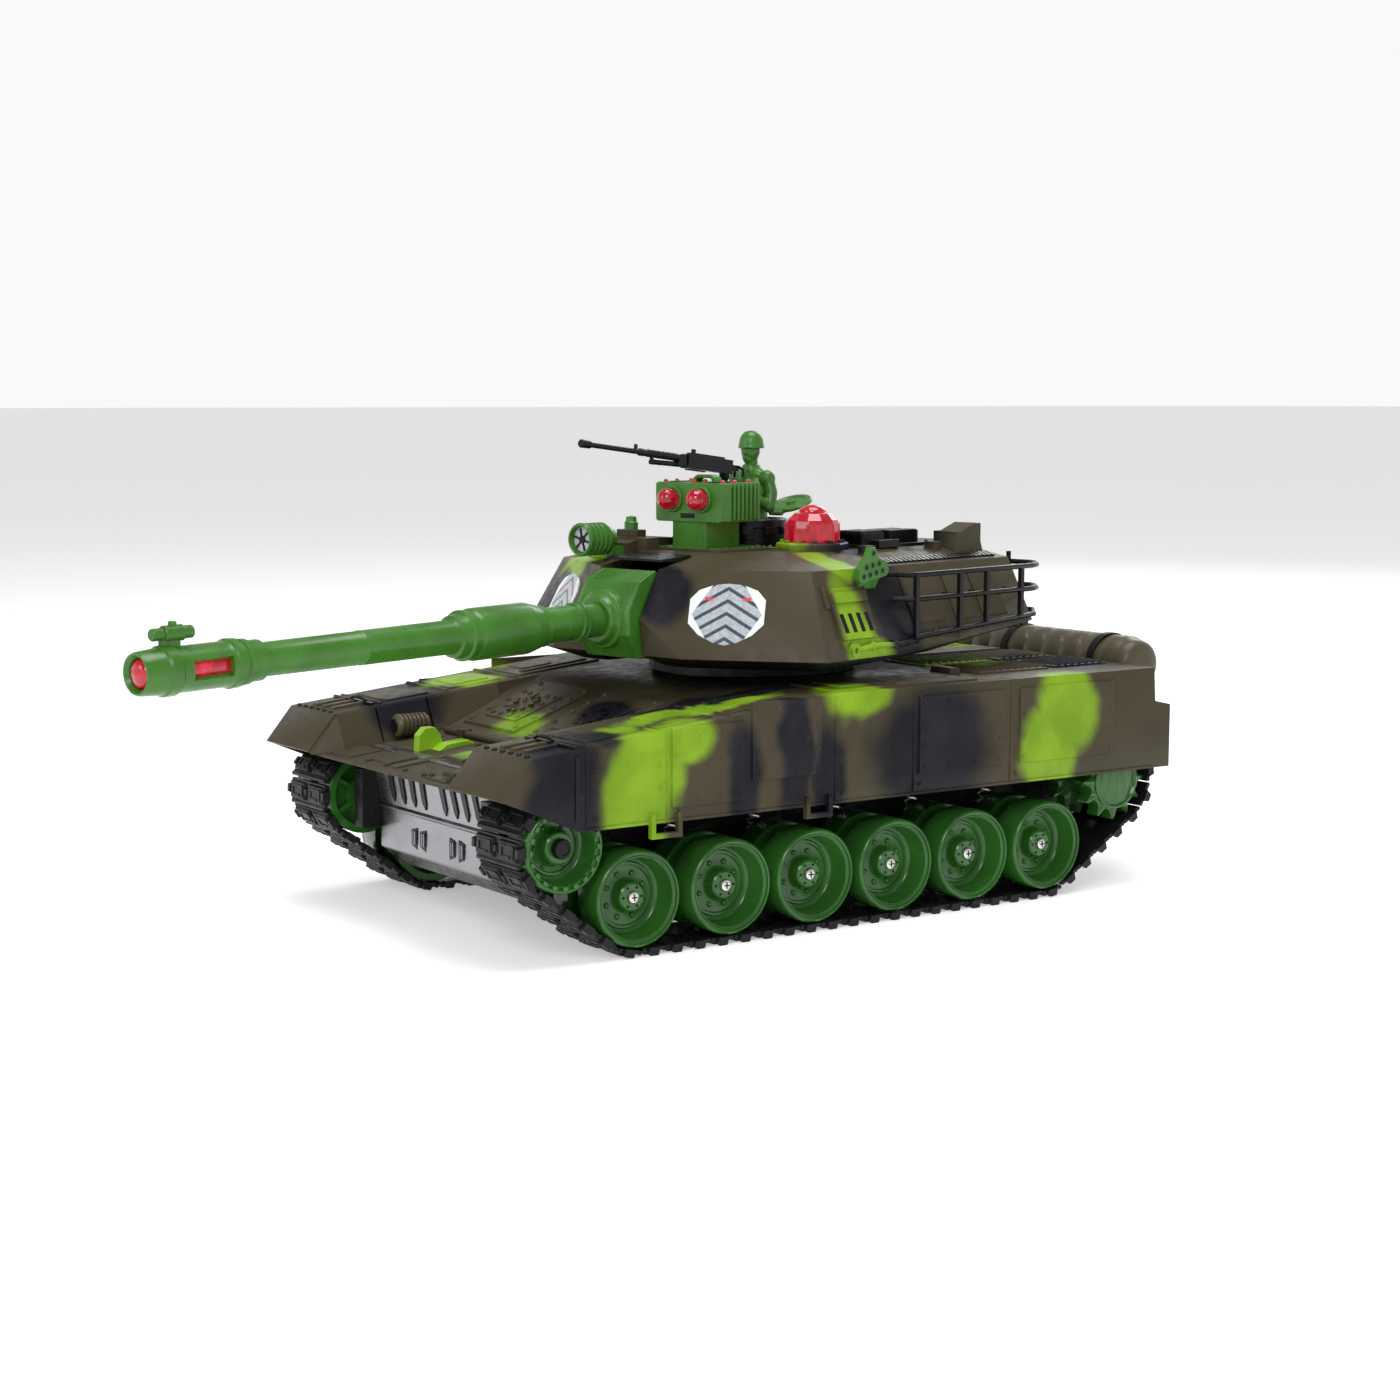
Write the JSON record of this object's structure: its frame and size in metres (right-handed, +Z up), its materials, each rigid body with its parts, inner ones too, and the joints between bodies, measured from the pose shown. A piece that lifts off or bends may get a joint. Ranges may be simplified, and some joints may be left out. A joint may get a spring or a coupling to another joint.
{
  "type": "remote controlled toy tank",
  "caption": "Radio-controlled toy battle tank: camouflage hull on sprung road wheels and rubber tracks, turning turret with an elevating gun, signal lamps, beacon and a gunner figure.",
  "frame": {"origin": "on the ground under the tracks, at the middle of the overall length (gun included) and on the hull's centre line", "axes": "+Z up; -Y is forward, where the gun points with the turret straight; +X is the tank's left side"},
  "size_m": [0.2089, 0.4818, 0.1978],
  "materials": {
    "camouflage": "olive brown plastic with soft sprayed bands of lime green and slate black",
    "black": "black moulded plastic, slight sheen",
    "rubber": "flexible black rubber with moulded pads",
    "green": "glossy leaf green injection-moulded plastic",
    "silver": "vacuum-plated silver plastic",
    "red_lens": "clear red plastic lens",
    "board": "green circuit board with components",
    "battery": "blue heat-shrink wrapped cells"
  },
  "bodies": {
    "hull": {"lower_hull": "black", "upper_hull": "camouflage", "nose_plate": "silver", "rear_drum": "camouflage", "battery_pack": "battery", "battery_door": "black", "circuit_board": "board", "speaker": "black", "drive_gearbox_left": "black", "drive_gearbox_right": "black", "track_left": "rubber", "track_right": "rubber"},
    "power_switch": {"power_switch": "black"},
    "sprocket_left": {"sprocket_left": "green"},
    "idler_left": {"idler_left": "green"},
    "suspension_arm_left_1": {"suspension_arm_left_1": "black"},
    "road_wheel_left_1": {"road_wheel_left_1": "green"},
    "suspension_arm_left_2": {"suspension_arm_left_2": "black"},
    "road_wheel_left_2": {"road_wheel_left_2": "green"},
    "suspension_arm_left_3": {"suspension_arm_left_3": "black"},
    "road_wheel_left_3": {"road_wheel_left_3": "green"},
    "suspension_arm_left_4": {"suspension_arm_left_4": "black"},
    "road_wheel_left_4": {"road_wheel_left_4": "green"},
    "suspension_arm_left_5": {"suspension_arm_left_5": "black"},
    "road_wheel_left_5": {"road_wheel_left_5": "green"},
    "suspension_arm_left_6": {"suspension_arm_left_6": "black"},
    "road_wheel_left_6": {"road_wheel_left_6": "green"},
    "sprocket_right": {"sprocket_right": "green"},
    "idler_right": {"idler_right": "green"},
    "suspension_arm_right_1": {"suspension_arm_right_1": "black"},
    "road_wheel_right_1": {"road_wheel_right_1": "green"},
    "suspension_arm_right_2": {"suspension_arm_right_2": "black"},
    "road_wheel_right_2": {"road_wheel_right_2": "green"},
    "suspension_arm_right_3": {"suspension_arm_right_3": "black"},
    "road_wheel_right_3": {"road_wheel_right_3": "green"},
    "suspension_arm_right_4": {"suspension_arm_right_4": "black"},
    "road_wheel_right_4": {"road_wheel_right_4": "green"},
    "suspension_arm_right_5": {"suspension_arm_right_5": "black"},
    "road_wheel_right_5": {"road_wheel_right_5": "green"},
    "suspension_arm_right_6": {"suspension_arm_right_6": "black"},
    "road_wheel_right_6": {"road_wheel_right_6": "green"},
    "turret": {"turret_base": "black", "turret_shell": "camouflage", "turret_rack": "black", "turret_motor": "black", "elevating_motor": "black", "lamp_box": "green", "lamp_lens": "red_lens", "beacon_dome": "red_lens", "searchlight": "green", "cupola": "black", "soldier": "green", "smoke_launcher_left": "green", "smoke_launcher_right": "green"},
    "gun": {"mantlet": "green", "gun_barrel": "green", "muzzle_brake": "green", "muzzle_lens": "red_lens"},
    "machine_gun": {"machine_gun": "black"},
    "hatch_lid": {"hatch_lid": "green"}
  },
  "joints": [
    {"name": "power_switch_slide", "type": "slide", "parent": "hull", "child": "power_switch", "axis": [0, 1, 0], "range_m": [0, 0.004]},
    {"name": "sprocket_left_spin", "type": "hinge", "parent": "hull", "child": "sprocket_left", "pos_m": [0.08, 0.19735, 0.047], "axis": [1, 0, 0], "continuous": true},
    {"name": "idler_left_spin", "type": "hinge", "parent": "hull", "child": "idler_left", "pos_m": [0.08, -0.08345, 0.045], "axis": [1, 0, 0], "continuous": true},
    {"name": "suspension_arm_left_1_swing", "type": "hinge", "parent": "hull", "child": "suspension_arm_left_1", "pos_m": [0.06, -0.06765, 0.03], "axis": [1, 0, 0], "range_deg": [0, 8], "stiffness_Nm_per_rad": 0.02, "springref_deg": -28.65},
    {"name": "road_wheel_left_1_spin", "type": "hinge", "parent": "suspension_arm_left_1", "child": "road_wheel_left_1", "pos_m": [0.08, -0.05065, 0.0227], "axis": [1, 0, 0], "continuous": true},
    {"name": "suspension_arm_left_2_swing", "type": "hinge", "parent": "hull", "child": "suspension_arm_left_2", "pos_m": [0.06, -0.02465, 0.03], "axis": [1, 0, 0], "range_deg": [0, 8], "stiffness_Nm_per_rad": 0.02, "springref_deg": -28.65},
    {"name": "road_wheel_left_2_spin", "type": "hinge", "parent": "suspension_arm_left_2", "child": "road_wheel_left_2", "pos_m": [0.08, -0.00765, 0.0227], "axis": [1, 0, 0], "continuous": true},
    {"name": "suspension_arm_left_3_swing", "type": "hinge", "parent": "hull", "child": "suspension_arm_left_3", "pos_m": [0.06, 0.01643, 0.03], "axis": [1, 0, 0], "range_deg": [0, 8], "stiffness_Nm_per_rad": 0.02, "springref_deg": -28.65},
    {"name": "road_wheel_left_3_spin", "type": "hinge", "parent": "suspension_arm_left_3", "child": "road_wheel_left_3", "pos_m": [0.08, 0.03343, 0.0227], "axis": [1, 0, 0], "continuous": true},
    {"name": "suspension_arm_left_4_swing", "type": "hinge", "parent": "hull", "child": "suspension_arm_left_4", "pos_m": [0.06, 0.05751, 0.03], "axis": [1, 0, 0], "range_deg": [0, 8], "stiffness_Nm_per_rad": 0.02, "springref_deg": -28.65},
    {"name": "road_wheel_left_4_spin", "type": "hinge", "parent": "suspension_arm_left_4", "child": "road_wheel_left_4", "pos_m": [0.08, 0.07451, 0.0227], "axis": [1, 0, 0], "continuous": true},
    {"name": "suspension_arm_left_5_swing", "type": "hinge", "parent": "hull", "child": "suspension_arm_left_5", "pos_m": [0.06, 0.09859, 0.03], "axis": [1, 0, 0], "range_deg": [0, 8], "stiffness_Nm_per_rad": 0.02, "springref_deg": -28.65},
    {"name": "road_wheel_left_5_spin", "type": "hinge", "parent": "suspension_arm_left_5", "child": "road_wheel_left_5", "pos_m": [0.08, 0.11559, 0.0227], "axis": [1, 0, 0], "continuous": true},
    {"name": "suspension_arm_left_6_swing", "type": "hinge", "parent": "hull", "child": "suspension_arm_left_6", "pos_m": [0.06, 0.13967, 0.03], "axis": [1, 0, 0], "range_deg": [0, 8], "stiffness_Nm_per_rad": 0.02, "springref_deg": -28.65},
    {"name": "road_wheel_left_6_spin", "type": "hinge", "parent": "suspension_arm_left_6", "child": "road_wheel_left_6", "pos_m": [0.08, 0.15667, 0.0227], "axis": [1, 0, 0], "continuous": true},
    {"name": "sprocket_right_spin", "type": "hinge", "parent": "hull", "child": "sprocket_right", "pos_m": [-0.08, 0.19735, 0.047], "axis": [1, 0, 0], "continuous": true},
    {"name": "idler_right_spin", "type": "hinge", "parent": "hull", "child": "idler_right", "pos_m": [-0.08, -0.08345, 0.045], "axis": [1, 0, 0], "continuous": true},
    {"name": "suspension_arm_right_1_swing", "type": "hinge", "parent": "hull", "child": "suspension_arm_right_1", "pos_m": [-0.06, -0.06765, 0.03], "axis": [1, 0, 0], "range_deg": [0, 8], "stiffness_Nm_per_rad": 0.02, "springref_deg": -28.65},
    {"name": "road_wheel_right_1_spin", "type": "hinge", "parent": "suspension_arm_right_1", "child": "road_wheel_right_1", "pos_m": [-0.08, -0.05065, 0.0227], "axis": [1, 0, 0], "continuous": true},
    {"name": "suspension_arm_right_2_swing", "type": "hinge", "parent": "hull", "child": "suspension_arm_right_2", "pos_m": [-0.06, -0.02465, 0.03], "axis": [1, 0, 0], "range_deg": [0, 8], "stiffness_Nm_per_rad": 0.02, "springref_deg": -28.65},
    {"name": "road_wheel_right_2_spin", "type": "hinge", "parent": "suspension_arm_right_2", "child": "road_wheel_right_2", "pos_m": [-0.08, -0.00765, 0.0227], "axis": [1, 0, 0], "continuous": true},
    {"name": "suspension_arm_right_3_swing", "type": "hinge", "parent": "hull", "child": "suspension_arm_right_3", "pos_m": [-0.06, 0.01643, 0.03], "axis": [1, 0, 0], "range_deg": [0, 8], "stiffness_Nm_per_rad": 0.02, "springref_deg": -28.65},
    {"name": "road_wheel_right_3_spin", "type": "hinge", "parent": "suspension_arm_right_3", "child": "road_wheel_right_3", "pos_m": [-0.08, 0.03343, 0.0227], "axis": [1, 0, 0], "continuous": true},
    {"name": "suspension_arm_right_4_swing", "type": "hinge", "parent": "hull", "child": "suspension_arm_right_4", "pos_m": [-0.06, 0.05751, 0.03], "axis": [1, 0, 0], "range_deg": [0, 8], "stiffness_Nm_per_rad": 0.02, "springref_deg": -28.65},
    {"name": "road_wheel_right_4_spin", "type": "hinge", "parent": "suspension_arm_right_4", "child": "road_wheel_right_4", "pos_m": [-0.08, 0.07451, 0.0227], "axis": [1, 0, 0], "continuous": true},
    {"name": "suspension_arm_right_5_swing", "type": "hinge", "parent": "hull", "child": "suspension_arm_right_5", "pos_m": [-0.06, 0.09859, 0.03], "axis": [1, 0, 0], "range_deg": [0, 8], "stiffness_Nm_per_rad": 0.02, "springref_deg": -28.65},
    {"name": "road_wheel_right_5_spin", "type": "hinge", "parent": "suspension_arm_right_5", "child": "road_wheel_right_5", "pos_m": [-0.08, 0.11559, 0.0227], "axis": [1, 0, 0], "continuous": true},
    {"name": "suspension_arm_right_6_swing", "type": "hinge", "parent": "hull", "child": "suspension_arm_right_6", "pos_m": [-0.06, 0.13967, 0.03], "axis": [1, 0, 0], "range_deg": [0, 8], "stiffness_Nm_per_rad": 0.02, "springref_deg": -28.65},
    {"name": "road_wheel_right_6_spin", "type": "hinge", "parent": "suspension_arm_right_6", "child": "road_wheel_right_6", "pos_m": [-0.08, 0.15667, 0.0227], "axis": [1, 0, 0], "continuous": true},
    {"name": "turret_turn", "type": "hinge", "parent": "hull", "child": "turret", "pos_m": [0, 0.07135, 0.103], "axis": [0, 0, 1], "range_deg": [-173, 147]},
    {"name": "gun_elevation", "type": "hinge", "parent": "turret", "child": "gun", "pos_m": [0.01598, 0.0032, 0.1229], "axis": [-0.9736, -0.2284, 0], "range_deg": [-2, 15]},
    {"name": "machine_gun_swing", "type": "hinge", "parent": "turret", "child": "machine_gun", "pos_m": [-0.00079, 0.0572, 0.17], "axis": [0, 0, 1], "range_deg": [-30, 30]},
    {"name": "hatch_lid_hinge", "type": "hinge", "parent": "turret", "child": "hatch_lid", "pos_m": [-0.00858, 0.0904, 0.1615], "axis": [0.9736, 0.2284, 0], "range_deg": [0, 70]}
  ],
  "couplings": [
    {"joint": "idler_left_spin", "follows": "sprocket_left_spin", "ratio": 1.0173},
    {"joint": "road_wheel_left_1_spin", "follows": "sprocket_left_spin", "ratio": 0.91192},
    {"joint": "road_wheel_left_2_spin", "follows": "sprocket_left_spin", "ratio": 0.91192},
    {"joint": "road_wheel_left_3_spin", "follows": "sprocket_left_spin", "ratio": 0.91192},
    {"joint": "road_wheel_left_4_spin", "follows": "sprocket_left_spin", "ratio": 0.91192},
    {"joint": "road_wheel_left_5_spin", "follows": "sprocket_left_spin", "ratio": 0.91192},
    {"joint": "road_wheel_left_6_spin", "follows": "sprocket_left_spin", "ratio": 0.91192},
    {"joint": "idler_right_spin", "follows": "sprocket_right_spin", "ratio": 1.0173},
    {"joint": "road_wheel_right_1_spin", "follows": "sprocket_right_spin", "ratio": 0.91192},
    {"joint": "road_wheel_right_2_spin", "follows": "sprocket_right_spin", "ratio": 0.91192},
    {"joint": "road_wheel_right_3_spin", "follows": "sprocket_right_spin", "ratio": 0.91192},
    {"joint": "road_wheel_right_4_spin", "follows": "sprocket_right_spin", "ratio": 0.91192},
    {"joint": "road_wheel_right_5_spin", "follows": "sprocket_right_spin", "ratio": 0.91192},
    {"joint": "road_wheel_right_6_spin", "follows": "sprocket_right_spin", "ratio": 0.91192}
  ]
}
